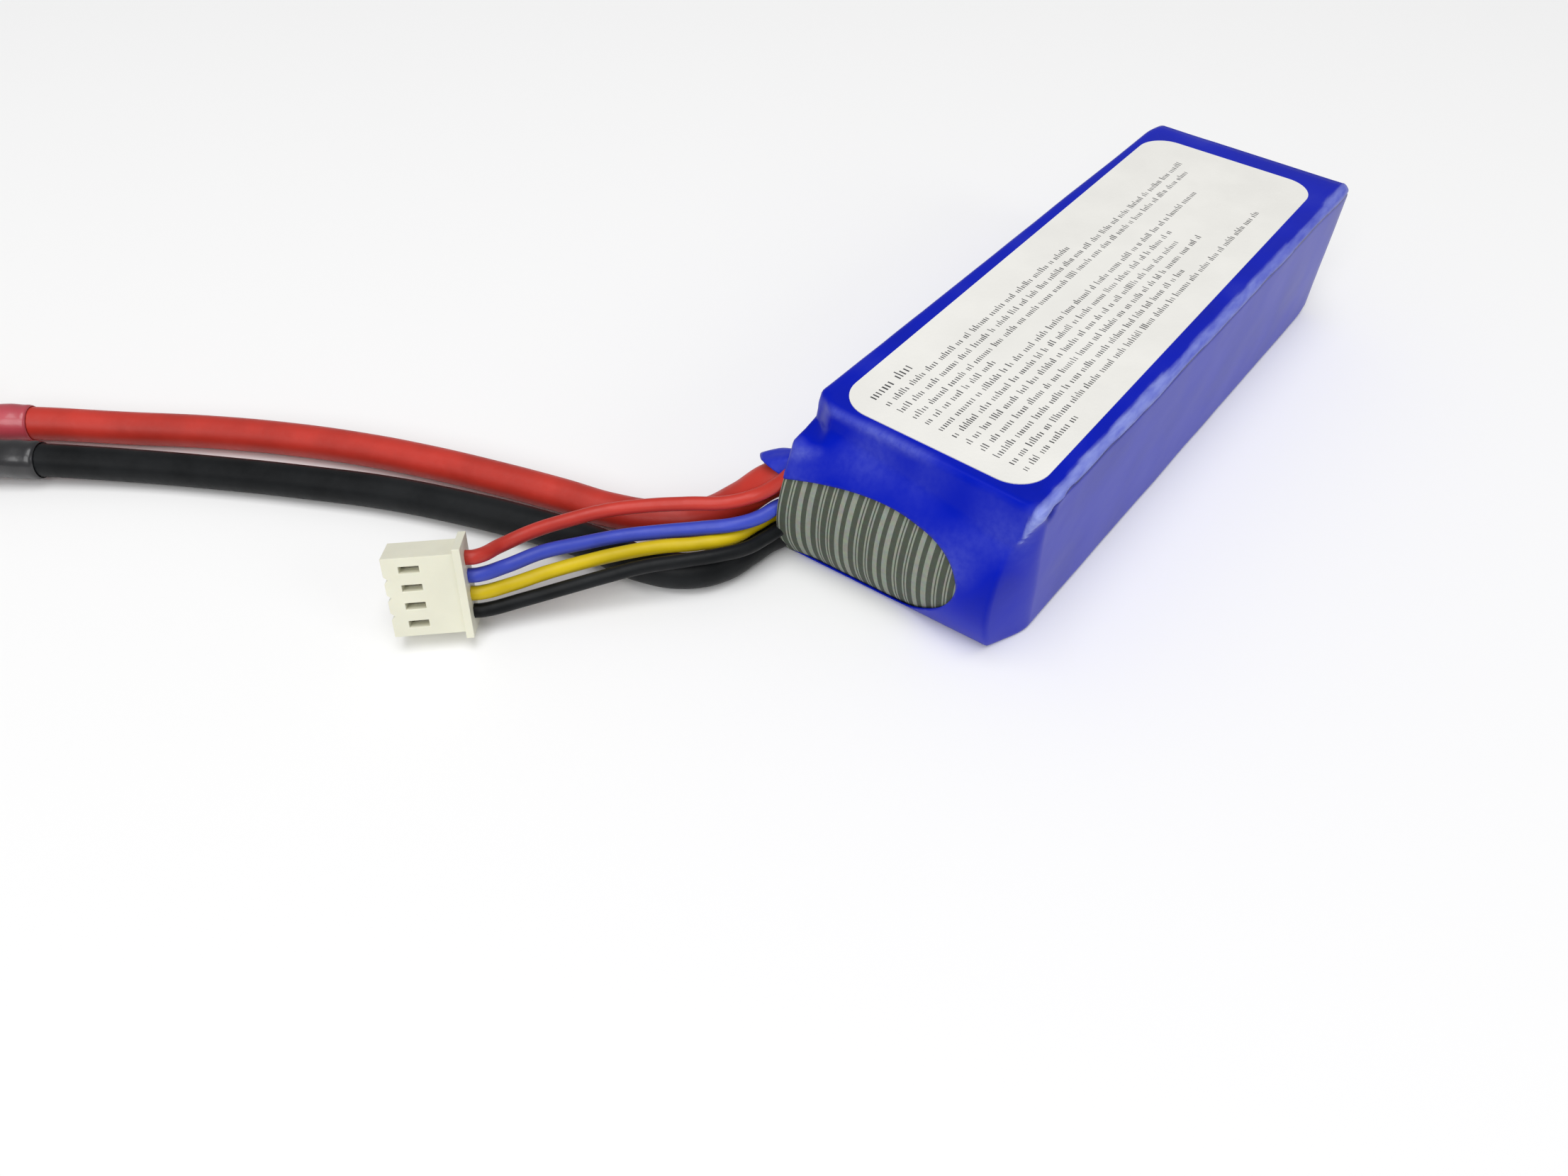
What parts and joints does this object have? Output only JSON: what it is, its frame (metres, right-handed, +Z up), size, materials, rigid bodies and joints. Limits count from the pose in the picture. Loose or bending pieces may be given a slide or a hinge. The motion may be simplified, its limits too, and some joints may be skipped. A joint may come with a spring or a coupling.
{
  "type": "lipo battery pack",
  "caption": "Box-shaped lithium polymer pack in glossy shrink film with a plain label, heavy power leads to a bullet connector and thin balance leads to a flat plug",
  "frame": {"origin": "middle of the pack's underside, leads and connectors left out", "axes": "+X along the pack to its plain end, the leads leave at the -X end; +Y to the side the leads leave from; +Z up, from the base to the label"},
  "size_m": [0.1844, 0.1621, 0.0235],
  "materials": {
    "shrink_film": "glossy, shrunk tight with small creases",
    "label_paper": "satin printed label",
    "striped_paper": "matt paper with light and dark stripes",
    "foam": "closed-cell foam",
    "cell_foil": "satin pouch foil",
    "cell_tape": "double-sided tape",
    "tab_nickel": "nickel-plated copper tab",
    "tab_aluminium": "aluminium tab",
    "tab_film": "sealing film",
    "board": "glass-epoxy board with solder mask",
    "solder": "solder",
    "copper_strand": "tinned copper strands",
    "silicone_red": "soft silicone insulation",
    "silicone_black": "soft silicone insulation",
    "silicone_blue": "soft silicone insulation",
    "silicone_yellow": "soft silicone insulation",
    "sleeve_red": "shrink sleeve",
    "sleeve_black": "shrink sleeve",
    "connector_nylon": "moulded nylon",
    "contact_gold": "gold-plated brass",
    "plug_nylon": "moulded nylon, natural colour",
    "terminal_tin": "tin-plated terminal"
  },
  "bodies": {
    "root": {"shrink_wrap": "shrink_film", "label": "label_paper", "end_paper": "striped_paper", "nose_foam": "foam", "rear_pad": "foam", "cell_bottom": "cell_foil", "cell_middle": "cell_foil", "cell_top": "cell_foil", "cell_tape_lower": "cell_tape", "cell_tape_upper": "cell_tape", "tab_bottom_negative": "tab_nickel", "tab_middle_negative": "tab_nickel", "tab_top_negative": "tab_nickel", "tab_bottom_positive": "tab_aluminium", "tab_middle_positive": "tab_aluminium", "tab_top_positive": "tab_aluminium", "tab_films": "tab_film", "circuit_board": "board", "solder_tabs": "solder", "solder_main": "solder", "solder_balance": "solder", "main_conductors": "copper_strand", "balance_conductors": "copper_strand", "cup_conductors": "copper_strand", "main_lead_red": "silicone_red", "balance_lead_red": "silicone_red", "main_lead_black": "silicone_black", "balance_lead_black": "silicone_black", "balance_lead_blue": "silicone_blue", "balance_lead_yellow": "silicone_yellow", "sleeve_red": "sleeve_red", "sleeve_black": "sleeve_black", "power_connector_housing": "connector_nylon", "power_contact_positive": "contact_gold", "power_contact_negative": "contact_gold", "balance_plug_housing": "plug_nylon", "plug_terminal_red": "terminal_tin", "plug_terminal_blue": "terminal_tin", "plug_terminal_yellow": "terminal_tin", "plug_terminal_black": "terminal_tin"}
  },
  "joints": []
}
